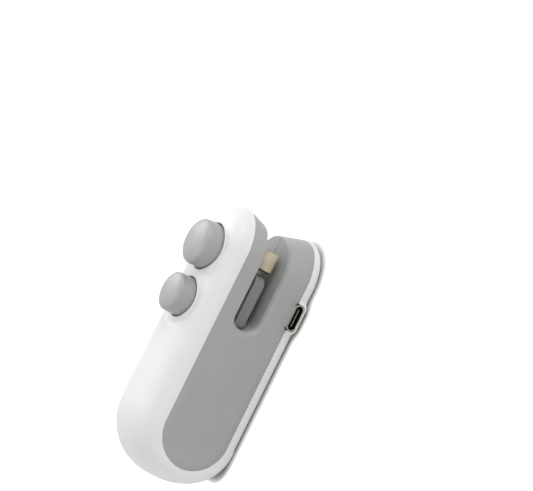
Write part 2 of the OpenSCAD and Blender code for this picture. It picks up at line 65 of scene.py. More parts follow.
lens = bpy.data.cameras.new("long_lens")
lens.sensor_width = sensor_w
lens.lens = sensor_w * stand_off / view_width
lens.clip_end = sight * mm
camera = bpy.data.objects.new("camera", lens)
scene.collection.objects.link(camera)
back = Vector((0, -math.cos(elevation), math.sin(elevation)))
tall = Vector((0, math.sin(elevation), math.cos(elevation)))
along = Vector((1, 0, 0))
right = math.cos(roll) * along - math.sin(roll) * tall
up = math.sin(roll) * along + math.cos(roll) * tall
camera.matrix_world = (Matrix.Translation((look_at + stand_off * back) * mm)
                       @ Matrix((right, up, back)).transposed().to_4x4())
scene.camera = camera
scene.view_settings.view_transform = "Standard"


# ---- Floor, light and surroundings ----
# A pale floor that carries the contact shadow, real and deepened near the shell by painted shade, one large
# soft lamp beyond the jaws, a second one behind them, weak ones in front and above, and a white sky.
floor_half = 3000.0
floor_drop = 0.02
shadow_reach = 2.8
paper_glow = 0.65
sky_light = 0.53
white = (1.0, 1.0, 1.0, 1.0)
lamp_aim = Vector((0, 0, 20))


class Value:
    """An output in a finish's node tree. Arithmetic on it adds the Math nodes."""

    def __init__(self, finish, socket):
        self.finish, self.socket = finish, socket

    def math(self, operation, *others):
        sockets = dict(enumerate((self,) + others))
        return self.finish.node("Math", {"operation": operation}, sockets)

    def __add__(self, other):
        return self.math("ADD", other)

    __radd__ = __add__

    def __mul__(self, other):
        return self.math("MULTIPLY", other)

    __rmul__ = __mul__

    def __sub__(self, other):
        return self.math("SUBTRACT", other)

    def __rsub__(self, other):
        return (self * -1.0) + other


class Finish:
    """A material, or a sky, and its nodes."""

    def __init__(self, name, kind="Material"):
        self.kind = kind
        self.owner = (bpy.data.worlds if kind == "World" else bpy.data.materials).new(name)
        self.owner.use_nodes = True
        self.tree = self.owner.node_tree
        self.tree.nodes.clear()

    def node(self, kind, settings=None, sockets=None, out=0):
        made = self.tree.nodes.new("ShaderNode" + kind)
        for key, value in (settings or {}).items():
            if key == "stops":
                while len(made.color_ramp.elements) < len(value):
                    made.color_ramp.elements.new(1.0)
                for stop, (place, colour) in zip(made.color_ramp.elements, value):
                    stop.position = place
                    stop.color = (*colour, 1.0)
            else:
                setattr(made, key, value)
        for key, value in (sockets or {}).items():
            if isinstance(value, Value):
                self.tree.links.new(value.socket, made.inputs[key])
            else:
                made.inputs[key].default_value = value
        return Value(self, made.outputs[out])

    def surface(self, shader):
        output = self.tree.nodes.new("ShaderNodeOutput" + self.kind)
        self.tree.links.new(shader.socket, output.inputs["Surface"])
        return self.owner


def srgb(code):
    """Linear colour from a hex code."""
    parts = [int(code[k:k + 2], 16) / 255 for k in (0, 2, 4)]
    return tuple(p / 12.92 if p <= 0.04045 else ((p + 0.055) / 1.055) ** 2.4 for p in parts)


def floor_paper():
    """White paper that shines on its own where it lies open; near the shell its glow fades and a gray paper
    is mixed in for the camera, painted shade in the angle under the shell.
    """
    finish = Finish("floor_paper")
    seen = finish.node("LightPath", out="Is Camera Ray")
    open_sky = finish.node("AmbientOcclusion", {"samples": 8}, {"Distance": shadow_reach * mm}, out="AO")
    paper = finish.node("BsdfDiffuse", sockets={"Color": (*srgb("F9F9F9"), 1.0)})
    painted_crease_shadow = finish.node("BsdfDiffuse", sockets={"Color": (*srgb("8A8A8A"), 1.0)})
    glow = finish.node("Emission", sockets={"Color": white, "Strength": paper_glow})
    bright = finish.node("AddShader", sockets={0: paper, 1: glow})
    # Painted shade: the camera's glow fades where the shell closes off the sky, and a gray paper takes over
    # right under it.
    shine = seen * open_sky * open_sky * open_sky
    lit = finish.node("MixShader", sockets={"Fac": shine, 1: paper, 2: bright})
    ground = finish.node("MixShader", sockets={"Fac": seen * (1.0 - open_sky), 1: lit, 2: painted_crease_shadow})
    return finish.surface(ground)


edge = floor_half * mm
floor_mesh = bpy.data.meshes.new("floor")
floor_mesh.from_pydata([(-edge, -edge, 0), (edge, -edge, 0), (edge, edge, 0), (-edge, edge, 0)],
                       [], [(0, 1, 2, 3)])
floor_mesh.materials.append(floor_paper())
floor = bpy.data.objects.new("floor", floor_mesh)
floor.location.z = -floor_drop * mm
scene.collection.objects.link(floor)

sky = Finish("studio", "World")
direct = sky.node("LightPath", out="Is Camera Ray")
for ray in ("Is Glossy Ray", "Is Transmission Ray"):
    direct = direct.math("MAXIMUM", sky.node("LightPath", out=ray))
scene.world = sky.surface(sky.node("Background", sockets={
    "Color": white, "Strength": sky_light + (1.0 - sky_light) * direct}))


def lamp(name, place, size, power):
    """A square soft box that points at the middle of the part."""
    light = bpy.data.lights.new(name, "AREA")
    light.shape = "RECTANGLE"
    light.size = light.size_y = size * mm
    light.energy = power
    stand = bpy.data.objects.new(name, light)
    aim = (lamp_aim - Vector(place)).normalized()
    stand.matrix_world = (Matrix.Translation(Vector(place) * mm)
                          @ aim.to_track_quat("-Z", "Y").to_matrix().to_4x4())
    scene.collection.objects.link(stand)


lamp("jaw_side_box", (700, -255, 505), 520, 2.35)
lamp("back_box", (300, 650, 560), 500, 2.6)
lamp("front_box", (-345, -739, 400), 700, 0.66)
lamp("top_box", (-250, 200, 850), 600, 1.0)


# ---- Outer shell ----
# One injection moulding in white satin ABS. Its crowned band runs over the top, turns flat on its way
# round the butt and carries on under the core; the buttons and the port come through it.
half_w = 14.0
spine_z = 16.5  # height of the line that the band is swept round
butt_x = -26.4  # where it turns down round the butt
butt_r = 19.3
nose_x = 31.7  # where the upper nose turns in
low_nose_x = 30.9
crown_t = 7.6  # rise of the crown over the core
crown_p = 2.4  # power of the crown's curve
crown_flat = 0.4
crown_wall = 3.2
wall = 1.8
base_t = 3.6
base_fillet = 2.45
core_top = 28.2
core_r = 12.3  # the core's round end, about (pill_x, core_z)
core_z = 15.9
pill_x = -27.1
core_fit = 0.05
rim_r = 0.1
inner_count, rim_count, outer_count = 16, 6, 44  # points of each stretch of the section


def eased(t):
    """A soft step from 0 to 1, held flat beyond both ends."""
    t = np.clip(t, 0, 1)
    return t * t * (3 - 2 * t)


def turned(a):
    """Share of the way from the crowned top (0) to the base (1)."""
    return (1 - math.sin(a)) / 2


def flattened(a):
    """Share of the way from the crown's curve to the flat base, from the butt's middle on."""
    return min(1.0, max(0.0, 2 * turned(a) - 1)) ** 2


def reach(a):
    """Distance from the spine to the outside of the band in direction a."""
    if a <= math.pi:
        return butt_r
    return butt_r - (butt_r - spine_z) * ((a - math.pi) / (math.pi / 2)) ** 2


def shoulder(a):
    """Distance from the spine to where the band's straight side ends."""
    return reach(a) - crown_t * (1 - turned(a)) - base_fillet * turned(a)


def opening_edge(x, a):
    """Distance from the spine to the edge of the opening that the core fills."""
    c, s = math.cos(a), math.sin(a)
    for level in (core_top + core_fit, base_t - core_fit):
        if abs(s) > 1e-9 and (level - spine_z) / s > 0:
            far = (level - spine_z) / s
            if x + far * c >= pill_x - 1e-9:
                return far
    wx, wz, r = x - pill_x, spine_z - core_z, core_r + core_fit
    lead = wx * c + wz * s
    return -lead + math.sqrt(lead * lead - (wx * wx + wz * wz - r * r))


def even(y, d, count):
    """A line through (y, d), resampled to evenly spaced points."""
    run = np.concatenate([[0], np.cumsum(np.hypot(np.diff(y), np.diff(d)))])
    at = np.linspace(0, run[-1], count)
    return np.interp(at, run, y), np.interp(at, run, d)


def section_line(a, inset, roof, start, count):
    """The section's outer or inner line at direction a, from distance start to the middle."""
    w = half_w - inset
    out = reach(a) - roof
    low = shoulder(a)
    share = flattened(a)
    flat = crown_flat + (w - base_fillet + inset - crown_flat) * share
    p = crown_p + (2 - crown_p) * share
    t = np.linspace(0, math.pi / 2, 400)
    y = flat + (w - flat) * np.clip(np.cos(t), 0, 1) ** (2 / p)
    d = low + (out - low) * np.sin(t) ** (2 / p)
    above = d > start + 1e-6
    y = np.concatenate([[w], y[above], [0.0]])
    d = np.concatenate([[start], d[above], [out]])
    return even(y, d, count)


def shell_section(x, a):
    """Half of the C-shaped section: inner line, edge of the opening with its soft rim, outer line."""
    edge = opening_edge(x, a)
    roof = crown_wall + (wall - crown_wall) * turned(a)
    yi, di = section_line(a, wall, roof, edge, inner_count)
    turn = np.linspace(0, math.pi / 2, rim_count)
    yr = half_w - rim_r + rim_r * np.sin(turn)
    dr = edge + rim_r - rim_r * np.cos(turn)
    yo, do = section_line(a, 0, 0, edge + rim_r, outer_count)
    return np.concatenate([yi[::-1], yr, yo[1:]]), np.concatenate([di[::-1], dr, do[1:]])


def shell_stations():
    """Places along the band: (x of the spine point, direction, turn round a nose). They lie closer
    together over the dish and along the port's swelling."""
    quarter = np.radians(np.linspace(90, 0, 41))
    dish_step, port_step = 0.55, 0.3
    dish_run = np.arange(nose_x - dish_step, -1.5, -dish_step)
    port_run = np.arange(12.8, 28.3, port_step)
    for theta in quarter:
        yield nose_x, math.pi / 2, theta
    for x in np.concatenate([dish_run, np.linspace(-2, butt_x + 1, 22)]):
        yield x, math.pi / 2, 0.0
    for a in np.radians(np.linspace(90, 270, 73)):
        yield butt_x, a, 0.0
    for x in np.concatenate([np.linspace(butt_x + 1.2, 12.5, 30), port_run]):
        yield x, 1.5 * math.pi, 0.0
    for theta in quarter[::-1]:
        yield low_nose_x, 1.5 * math.pi, theta


def skin(rows):
    """Points and quads between rows of points."""
    rows = np.asarray(rows, float)
    n, m = rows.shape[:2]
    k = np.arange(n * m).reshape(n, m)
    quads = np.stack([k[:-1, :-1], k[1:, :-1], k[1:, 1:], k[:-1, 1:]], -1).reshape(-1, 4)
    return rows.reshape(-1, 3), quads.tolist()


def mirrored(part):
    """The same skin on the other side of the middle plane."""
    points, faces = part
    return points * (1, -1, 1), [f[::-1] for f in faces]


def welded(mesh, distance, outward=False):
    """Joins points closer than the distance, fills the hairline cracks and, if asked, turns faces out."""
    bm = bmesh.new()
    bm.from_mesh(mesh)
    bmesh.ops.remove_doubles(bm, verts=bm.verts, dist=distance)
    bmesh.ops.dissolve_degenerate(bm, edges=bm.edges, dist=distance / 3)
    bmesh.ops.holes_fill(bm, edges=[e for e in bm.edges if e.is_boundary], sides=6)
    if outward:
        bmesh.ops.recalc_face_normals(bm, faces=bm.faces)
    bm.to_mesh(mesh)
    bm.free()


def solid(name, *skins):
    """One closed mesh from skins that meet along their edges, as an object."""
    points, faces, count = [], [], 0
    for part_points, part_faces in skins:
        points.append(np.asarray(part_points, float))
        faces += [[i + count for i in f] for f in part_faces]
        count += len(part_points)
    mesh = bpy.data.meshes.new(name)
    mesh.from_pydata((np.concatenate(points) * mm).tolist(), [], faces)
    welded(mesh, 0.0003 * mm, True)
    made = bpy.data.objects.new(name, mesh)
    scene.collection.objects.link(made)
    return made


def carve(piece, *tools, operation="DIFFERENCE"):
    """Cuts the tools out of the piece, or joins them to it, one after the other."""
    for tool in tools:
        cut = piece.modifiers.new("carve", "BOOLEAN")
        cut.operation = operation
        cut.solver = "EXACT"
        cut.object = tool
        bpy.context.view_layer.update()
        shown = piece.evaluated_get(bpy.context.evaluated_depsgraph_get())
        done = bpy.data.meshes.new_from_object(shown)
        piece.modifiers.clear()
        welded(done, 0.001 * mm)
        spent = piece.data
        piece.data = done
        bpy.data.meshes.remove(spent)
        bpy.data.objects.remove(tool)
    return piece


def prism(name, outline, levels, axes=(0, 1, 2), centre=None):
    """A closed body: an outline in two axes, run along the third, with both end caps fanned from the
    centre. axes says which of (first, second, level) gives X, Y and Z."""
    line = np.asarray([*outline, outline[0]], float)
    centre = line[:-1].mean(0) if centre is None else np.asarray(centre, float)
    low, high = levels
    rows = [[(*(centre + (point - centre) * share), level) for point in line]
            for share, level in ((0, low), (1, low), (1, high), (0, high))]
    points, faces = skin(rows)
    return solid(name, (points[:, axes], faces))


def box(x, y, z):
    """Skin of a plain box between three pairs of limits."""
    points = [(i, j, k) for i in x for j in y for k in z]
    return points, [(0, 1, 3, 2), (4, 6, 7, 5), (0, 4, 5, 1), (2, 3, 7, 6), (0, 2, 6, 4), (1, 5, 7, 3)]


def block(x, y, z):
    """A plain box, used as a cutter."""
    return solid("block", box(x, y, z))


def turning(line, x, y=0.0, steps=96):
    """Skin of a line of (radius, height) turned round an upright axis at (x, y)."""
    angles = np.linspace(0, 2 * math.pi, steps + 1)
    points, faces = skin([[(r * math.cos(t), r * math.sin(t), z) for r, z in line] for t in angles])
    return points + (x, y, 0), faces


def rod(x, y, r, z0, z1, steps=48):
    """A plain upright cylinder, used as a cutter or a boss."""
    return solid("rod", turning([(0, z0), (r, z0), (r, z1), (0, z1)], x, y, steps))


def soft_shaded(piece, degrees=35):
    """Smooth shading, with edges kept where faces meet at more than the angle."""
    piece.data.shade_smooth()
    piece.data.set_sharp_from_angle(angle=math.radians(degrees))
    return piece


dish_t = 0.4
dish_r = 9.5
dish_narrowing = 1.1
dish_edge = 0.9
dish_runout = 2.6
dish_runout_l = 6.0
cut_x = 10.9
seal_x = 29.1
seal_d = 15.6
cut_d = 13.3
button_gap = 0.45


def dish_depth(x, y):
    """The shallow dish round the buttons, with a soft edge that runs out towards the jaws."""
    beyond = np.maximum(np.maximum(cut_x - x, x - seal_x), 0)
    slope = dish_edge + dish_runout * np.clip((x - seal_x) / dish_runout_l, 0, 1)
    away = (np.hypot(beyond, y * dish_narrowing) - dish_r) / slope
    return dish_t * (1 - eased(away))


def crown_height(x, y):
    """Height of the shell's top over the back at a plan position, dish included."""
    off = np.where(x > nose_x, np.hypot(x - nose_x, y), np.abs(y))
    t = np.clip((off - crown_flat) / (half_w - crown_flat), 0, 1)
    return core_top + crown_t * (1 - t ** crown_p) ** (1 / crown_p) - dish_depth(x, y)


port_x = 20.5
swell_y = 15.8
swell_half = 3.6
swell_flare = 2.4
swell_root = 8.0
swell_squaring = 0.5
swell_top = base_t + 0.6


def swell(points):
    """Lets the near side of the base swell out round the port, between soft concave flares."""
    x, y, z = points.T
    share = 1 - eased((np.abs(x - port_x) - swell_half) / swell_flare)
    edge = np.clip((-y - swell_root) / (half_w - swell_root), 0, 1)
    pushed = y - (swell_y - half_w + swell_squaring) * share * edge
    face = -half_w - (swell_y - half_w) * share
    low = (z < swell_top) & (y < 0)
    return np.stack([x, np.where(low, np.maximum(pushed, face), y), z], -1)


def shell_skin():
    """The near half of the band, with the dish pressed into its crown."""
    rows = []
    for x, a, theta in shell_stations():
        y, d = shell_section(x, a)
        rows.append(np.stack([x + d * math.cos(a) + y * math.sin(theta), -y * math.cos(theta),
                              spine_z + d * math.sin(a)], -1))
    points, faces = skin(rows)
    inside = inner_count + rim_count
    place = np.arange(len(points)) % (inside + outer_count - 1)
    crowned = (place >= inside) & (points[:, 2] > core_top)
    points[crowned, 2] -= dish_depth(points[crowned, 0], points[crowned, 1])
    return points, faces


near_points, shell_faces = shell_skin()
shell = solid("outer_shell_moulding", (swell(near_points), shell_faces),
              mirrored((near_points, shell_faces)))

bead_w = 0.72
bead_t = 0.3
bead_lap = 0.08
bead_sink = 0.05
bead_root = 0.6


def hole_bead(x, r):
    """A low round bead on the crown, which is left as a soft bright ring once the hole is cut."""
    start = r - bead_lap
    profile = [(start + bead_w * s, bead_t * math.sin(math.pi * s) - bead_sink)
               for s in np.linspace(0, 1, 11)]
    profile += [(start + bead_w, -bead_root), (start, -bead_root), profile[0]]
    rows = []
    for t in np.linspace(0, 2 * math.pi, 97):
        spots = [(x + out * math.cos(t), out * math.sin(t), rise) for out, rise in profile]
        rows.append([(px, py, crown_height(px, py) + rise) for px, py, rise in spots])
    return solid("hole_bead", skin(rows))


usb_w = 8.94
usb_h = 3.26
usb_l = 7.35
usb_z = 3.07
usb_face = -15.5
port_gap = 0.2


def port_cutter(top):
    """Room for the port's metal shell: round at its lower corners, square at its top."""
    w, r = usb_w / 2 + port_gap, 1.2
    low = usb_z - usb_h / 2 - 0.04
    right_side = [(w - r + r * math.sin(t), low + r - r * math.cos(t))
                  for t in np.linspace(0, math.pi / 2, 9)]
    outline = right_side + [(w, top), (-w, top)] + [(-x, z) for x, z in right_side[::-1]]
    return prism("port_room", [(port_x + x, z) for x, z in outline], (usb_face - 2, usb_face + usb_l + 0.5),
                 (0, 2, 1), (port_x, (low + top) / 2))


button_rings = [(seal_x, seal_d / 2 + button_gap), (cut_x, cut_d / 2 + button_gap)]
base_screws = [(x, side * y) for x, y in ((-20, 7.5), (34, 6.5)) for side in (-1, 1)]
post_reach = 8.4
board_posts = [(port_x + i * post_reach, j * post_reach) for i in (-1, 1) for j in (-1, 1)]
board_z = 4.75
boss_r, head_r, shank_r, post_r = 2.7, 2.2, 1.15, 1.1
head_t = 1.5
root_z = 0.5
bosses = [rod(x, y, boss_r, root_z, base_t) for x, y in base_screws]
posts = [rod(x, y, post_r, root_z, board_z, 24) for x, y in board_posts]
beads = [hole_bead(x, r) for x, r in button_rings]
carve(shell, *bosses, *posts, *beads, operation="UNION")
button_holes = [rod(x, 0, r, 20, 50, 96) for x, r in button_rings]
head_holes = [rod(x, y, head_r, -1, head_t) for x, y in base_screws]
shank_holes = [rod(x, y, shank_r, 1, 8, 24) for x, y in base_screws]
carve(shell, *button_holes, port_cutter(12.0), *head_holes, *shank_holes)
soft_shaded(shell)


def plastic(name, colour, shade, roughness, grain=0.35, specular=0.45):
    """Moulded satin plastic: faint cloudiness in colour and gloss over a fine spark-eroded grain."""
    finish = Finish(name)
    place = finish.node("TexCoord", out="Object")
    cloud = finish.node("TexNoise", sockets={"Vector": place, "Scale": 90.0, "Detail": 3.0})
    fine = finish.node("TexNoise", sockets={"Vector": place, "Scale": 5200.0, "Detail": 2.0})
    light = srgb(colour)
    dark = tuple(c * shade for c in light)
    tone = finish.node("ValToRGB", {"stops": [(0.3, dark), (0.7, light)]}, {"Fac": cloud})
    bump = finish.node("Bump", sockets={"Height": fine, "Strength": grain, "Distance": 0.00004})
    gloss = cloud * 0.06 + (roughness - 0.03) + fine * 0.04
    return finish.surface(finish.node("BsdfPrincipled", sockets={
        "Base Color": tone, "Roughness": gloss, "Normal": bump, "IOR": 1.5,
        "Specular IOR Level": specular}))


def dress(piece, material, slot, *nodes, body="housing"):
    """Gives the piece its finish and its place on a body, in place of the CAD nodes named."""
    piece.data.materials.clear()
    piece.data.materials.append(material)
    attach(piece, body)
    if nodes:
        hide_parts(*nodes)
    return piece


white_abs = plastic("white_satin_abs", "F1F0EE", shade=0.975, roughness=0.36, grain=0.25)
dress(shell, white_abs, "white_shell", "outer_shell")


# ---- Core halves ----
# Two mouldings in light gray ABS, near and far, that meet on the middle plane. Each is a side panel with
# a soft band round a shallow dish, and half of the slot, whose lip flares and turns round both jaws.
band_w = 1.9
panel_dish = 0.25
dish_slope_w = 5.4
butt_dish = 0.42
butt_dish_x = -6.0
butt_dish_run = 16.0
edge_drop = 0.2
edge_soft = 0.15
slot_r = 4.95
slot_mid = 17.45
slot_end = 14.25  # middle of the slot's round inner end
slot_z = slot_mid - slot_r
slot_top = slot_mid + slot_r
lip = 1.15
lip_w = 1.6
lip_blend = 0.3
lip_x = 29.9
lip_edge_y = 13.3
lip_curl = 2.2
lip_curl_w = 0.6
lip_curl_top = 0.16  # share of it that the upper jaw keeps
lip_start = 92  # degrees round the inner end
lip_rise = 60
jaw_wall = 1.8
tip_r = 21.0
top_lean = math.radians(19)
low_lean = math.radians(16)
lean_run = 5.0
lean_soft = 0.25


def panel_depth(q):
    """How far the side panel lies under its crest at a distance q in from its edge."""
    if q < band_w:
        return edge_drop * (1 - q / band_w) ** 2
    return panel_dish * math.sin(min(1.0, (q - band_w) / dish_slope_w) * math.pi / 2) ** 1.2


def core_section():
    """Half of the core's skin as (inset from the outline, distance from the middle plane)."""
    corner = half_w - edge_drop - edge_soft
    rise = half_w - panel_depth(edge_soft) - corner
    line = [(0.0, y) for y in np.linspace(0, corner, 12)]
    for t in np.linspace(0, math.pi / 2, 6)[1:]:
        line.append((edge_soft * (1 - math.cos(t)), corner + rise * math.sin(t)))
    for q in np.concatenate([np.linspace(0.45, 3.2, 14), np.linspace(3.7, core_r, 16)]):
        line.append((q, half_w - panel_depth(q)))
    return np.array(line)


def core_rows():
    """The near half's skin: the section run round the upper nose, the butt and the lower nose."""
    q, y = core_section().T
    quarter = np.radians(np.linspace(90, 0, 37))
    run = np.linspace(nose_x, pill_x, 60)
    for theta in quarter:
        yield np.stack([nose_x + y * math.sin(theta), -y * math.cos(theta), core_top - q], -1)
    for x in run[1:-1]:
        yield np.stack([x + 0 * y, -y, core_top - q], -1)
    for b in np.radians(np.linspace(90, 270, 91)):
        yield np.stack([pill_x + (core_r - q) * math.cos(b), -y, core_z + (core_r - q) * math.sin(b)], -1)
    for x in run[-2:0:-1]:
        yield np.stack([x + 0 * y, -y, base_t + q], -1)
    for theta in quarter[::-1]:
        yield np.stack([low_nose_x + y * math.sin(theta), -y * math.cos(theta), base_t + q], -1)


def slanted(points):
    """Lets the tips of both jaws lean back towards the slot."""
    x, y, z = points.T
    bulge = np.sqrt(tip_r ** 2 - np.minimum(y * y, half_w ** 2)) - tip_r
    top = nose_x + half_w + (z - core_top) * math.tan(top_lean) + bulge / math.cos(top_lean)
    low = low_nose_x + half_w - (z - base_t) * math.tan(low_lean) + bulge / math.cos(low_lean)
    limit = np.where(z > core_z + 1e-6, top, low)
    leant = (x + limit) / 2 - np.sqrt((x - limit) ** 2 + lean_soft) / 2
    start = np.where(z > core_z + 1e-6, nose_x, low_nose_x)
    return np.stack([x + (leant - x) * eased((x - start) / lean_run), y, z], -1)


def hollowed(points):
    """Deepens the panel's dish towards the butt."""
    x, y, z = points.T
    inset = np.tile(core_section()[:, 0], len(core_lines))
    share = 1 - (1 - np.clip((inset - band_w) / dish_slope_w, 0, 1)) ** 2
    return np.stack([x, y + butt_dish * share * eased((butt_dish_x - x) / butt_dish_run), z], -1)


core_lines = list(core_rows())
core_points, core_faces = skin(core_lines)
core_points = hollowed(slanted(core_points))


def step_between_jaws():
    """The narrow step where the longer upper nose passes the lower one; the slot cuts it away."""
    tips = core_points.reshape(len(core_lines), -1, 3)[:, -1]
    nose_rows = 38
    return skin([[tips[i], tips[-1 - i]] for i in range(nose_rows)])


def slot_cutter():
    """The slot's void: its round inner end, its run and its turn round the noses. The lip flares along the
    floor and round the inner end, and fades out before it reaches the upper jaw."""
    y0 = half_w - lip_w
    depth = np.concatenate([[-0.001, 6.0, y0 - 0.5], y0 + np.linspace(-lip_blend, lip_blend, 5),
                            np.linspace(12.9, lip_edge_y, 3), np.linspace(13.38, 14.1, 10), [15.0]])
    t = depth - y0
    bend = (t + lip_blend) ** 2 / (4 * lip_blend)
    flare = np.where(t < -lip_blend, 0.0, np.where(t < lip_blend, bend, t)) * lip / lip_w
    edge = np.maximum(depth - lip_edge_y, 0)
    past = 2 * lip_curl * lip_curl_w * (edge - lip_curl_w)
    curl = np.where(edge < lip_curl_w, lip_curl * edge ** 2, lip_curl * lip_curl_w ** 2 + past)
    y = np.maximum(depth, 0)
    quarter = np.radians(np.linspace(90, 0, 37))
    run = np.linspace(lip_x, slot_end, 20)[1:-1]

    def opened(share):
        return slot_r + flare * share + curl * (lip_curl_top + (1 - lip_curl_top) * min(share, 1.0))

    def round_nose(theta, z):
        return np.stack([lip_x + y * math.sin(theta), -y * math.cos(theta), z], -1)

    upper, lower = slot_mid + opened(0), slot_mid - opened(1)
    rows = [round_nose(theta, upper) for theta in quarter]
    rows += [np.stack([x + 0 * y, -y, upper], -1) for x in run]
    for b in np.radians(np.linspace(90, 270, 61)):
        swelling = 1 + 0.3 * math.sin(b / 2) ** 8 * -math.cos(b)
        wide = opened(eased((math.degrees(b) - lip_start) / lip_rise) * swelling)
        rows.append(np.stack([slot_end + wide * math.cos(b), -y, slot_mid + wide * math.sin(b)], -1))
    rows += [np.stack([x + 0 * y, -y, lower], -1) for x in run[::-1]]
    rows += [round_nose(theta, lower) for theta in quarter[::-1]]
    near = skin(rows)
    outer = [row[-1] for row in rows]
    pairs = list(zip(outer, outer[::-1]))[:(len(rows) + 1) // 2]
    side = skin([[top, (top + bottom) / 2, bottom] for top, bottom in pairs])
    return solid("slot", near, side, mirrored(near), mirrored(side))


def tray(r, levels, x0, x1, reach_x):
    """A cutter with a rounded end towards the jaw's tip, squared off at reach_x."""
    turn = np.linspace(-math.pi / 2, math.pi / 2, 49)
    end = [(min(x1 + r * math.cos(t), reach_x), r * math.sin(t)) for t in turn]
    return prism("tray", [(x0, -r), *end, (x0, r)], levels, centre=((x0 + x1) / 2, 0))


heater_l = 6.3
heater_w = 16.4
heater_x = 32.9
head_gap = 0.45
guard_half = 9.0
guard_gap = 0.15
guard_x0 = 9.6
guard_x1 = 28.1
guard_low = 15.0
blade_x = 13.0
blade_half = 4.0
slit_half = 0.6
slit_end = 0.8
seam_half = 0.09
seam_t = 0.2
board_half = 10.4
works_half = 10.2
works_x = 4.0
works_l = 9.4
lower_room_l = 8.6
past_tips = 45.0
past_top = 40.0
reach_y = half_w - wall - panel_dish


def hollow_core():
    """The whole core with the room for the works, the slot and every opening cut out."""
    near = (core_points, core_faces)
    step = step_between_jaws()
    core = solid("core_moulding", near, step, mirrored(near), mirrored(step))
    low, high = base_t + wall, core_top - wall
    back_x = slot_end - slot_r - jaw_wall
    r = core_r - wall
    round_end = [(pill_x + r * math.cos(t), core_z + r * math.sin(t))
                 for t in np.linspace(math.pi / 2, 1.5 * math.pi, 41)]
    carve(core,
          prism("cell_room", [(back_x, high), *round_end, (back_x, low)], (-reach_y, reach_y), (0, 2, 1)),
          tray(reach_y, (low, slot_z - jaw_wall), back_x - 0.5, low_nose_x, low_nose_x + lower_room_l),
          tray(works_half, (slot_top + jaw_wall, past_top), works_x, low_nose_x, low_nose_x + works_l),
          slot_cutter())
    head_half = heater_l / 2 + head_gap
    deep = guard_half + guard_gap
    slit_y = blade_half + slit_end
    seam = [(slot_end, slot_z + 0.02), (past_tips, slot_z + 0.02),
            (past_tips, slot_z - seam_t), (slot_end, slot_z - seam_t)]
    return carve(
        core,
        block((heater_x - head_half, heater_x + head_half), (-guard_half, guard_half),
              (slot_z + 2, slot_top + 2)),
        block((guard_x0 - guard_gap, guard_x1 + guard_gap), (-deep, deep), (slot_z + 5, slot_top + 3)),
        block((blade_x - slit_half, blade_x + slit_half), (-slit_y, slit_y), (slot_z - 1, slot_z + 1)),
        prism("seam", seam, (-seam_half, seam_half), (0, 2, 1)),
        block((port_x - board_half, port_x + board_half), (-board_half, board_half),
              (base_t - 1, base_t + 3)))


visor_half = 3.75
visor_back = -13.2
visor_front = -15.28
visor_t = 0.7
visor_lift = 0.03


def visor():
    """The thin lip that the near half hangs over the top of the port's metal shell."""
    low = usb_z + usb_h / 2 + visor_lift
    outline = [(visor_back, low), (visor_front + 0.13, low), (visor_front, low + 0.1),
               (visor_front + 0.06, low + 0.2), (visor_back - 0.4, low + visor_t),
               (visor_back, low + visor_t)]
    return prism("visor", outline, (port_x - visor_half, port_x + visor_half), (2, 0, 1))


def core_half(core, name, side):
    """One half, cut off at the middle plane; the near one makes room for the port."""
    half = bpy.data.objects.new(name, core.data.copy())
    scene.collection.objects.link(half)
    if side < 0:
        carve(half, port_cutter(4.25))
        carve(half, visor(), operation="UNION")
    spare = (0.0, 40.0) if side < 0 else (-40.0, 0.0)
    return soft_shaded(carve(half, block((-60, 60), spare, (-5, 45))))


gray_abs = plastic("gray_satin_abs", "ABADAB", shade=0.965, roughness=0.4)
core = hollow_core()
for name, side in (("core_near", -1), ("core_far", 1)):
    dress(core_half(core, name + "_moulding", side), gray_abs, "gray_core", name)
bpy.data.objects.remove(core)


# ---- Buttons ----
# Two domed caps in the same gray ABS, each turned from one profile: a straight skirt, a soft shoulder and
# a shallow dome. A socket under the dome takes the stem.
button_top = 41.8
cap_roof = 38.6
cap_wall = 1.3
cap_power = 2.2
cap_soft = 0.25
socket_wall = 1.5
socket_t = 2.4
deck_top = 29.8
foot_gap = 0.3
seal_travel = 1.9
cut_travel = 2.8
button_abs = plastic("button_gray_abs", "A7A9A7", shade=0.975, roughness=0.38, specular=0.9)


def cap(name, x, r, rise, travel, stem, body, node):
    """A hollow cap: its skirt's foot, side and dome, then the roof inside, round the stem's socket."""
    foot = deck_top + travel + foot_gap
    side_top = button_top - rise
    inner = r - cap_wall
    socket = stem / 2 + socket_wall
    t = np.linspace(0, math.pi / 2, 40)
    out, up_dome = np.clip(np.cos(t), 0, 1) ** (2 / cap_power), np.sin(t) ** (2 / cap_power)
    line = [(r - cap_soft, foot), (r - 0.07, foot + 0.07), (r, foot + cap_soft)]
    line += [(r, z) for z in np.linspace(foot + 1.5, side_top - 0.5, 8)]
    line += zip(r * out, side_top + rise * up_dome)
    line += [(0, cap_roof), (stem / 2, cap_roof), (stem / 2, cap_roof - socket_t),
             (socket, cap_roof - socket_t), (socket, cap_roof), (inner - 0.4, cap_roof),
             (inner, cap_roof - 0.4), (inner, foot), (r - cap_soft, foot)]
    made = solid(name, turning(line, x, steps=128))
    return dress(soft_shaded(made), button_abs, "button_gray", node, body=body)


cap("seal_button_cap", seal_x, seal_d / 2, 2.4, seal_travel, 5.0, "sealing_head", "seal_button")
cap("cut_button_cap", cut_x, cut_d / 2, 1.9, cut_travel, 4.0, "cutting_head", "cut_button")


# ---- Blade guard ----
# A dark gray ABS bar that hangs through the upper jaw into the slot and hides the blade. Its inner end
# follows the slot, its outer end is rounded in plan, and a slit lets the blade out.
guard_top = slot_top + jaw_wall
guard_mid = 18.0
guard_inset = 0.3
guard_soft = 0.35
soft_top = 17.0
soft_run = 3.0
shoulder_z = 19.15
neck_half = 7.4
plan_r = 3.4
plan_pivot = 19.0
flange_w = 0.9
flange_t = 0.6
flange_x1 = 24.2
guard_abs = plastic("guard_gray_abs", "8C8F8F", shade=0.95, roughness=0.34)


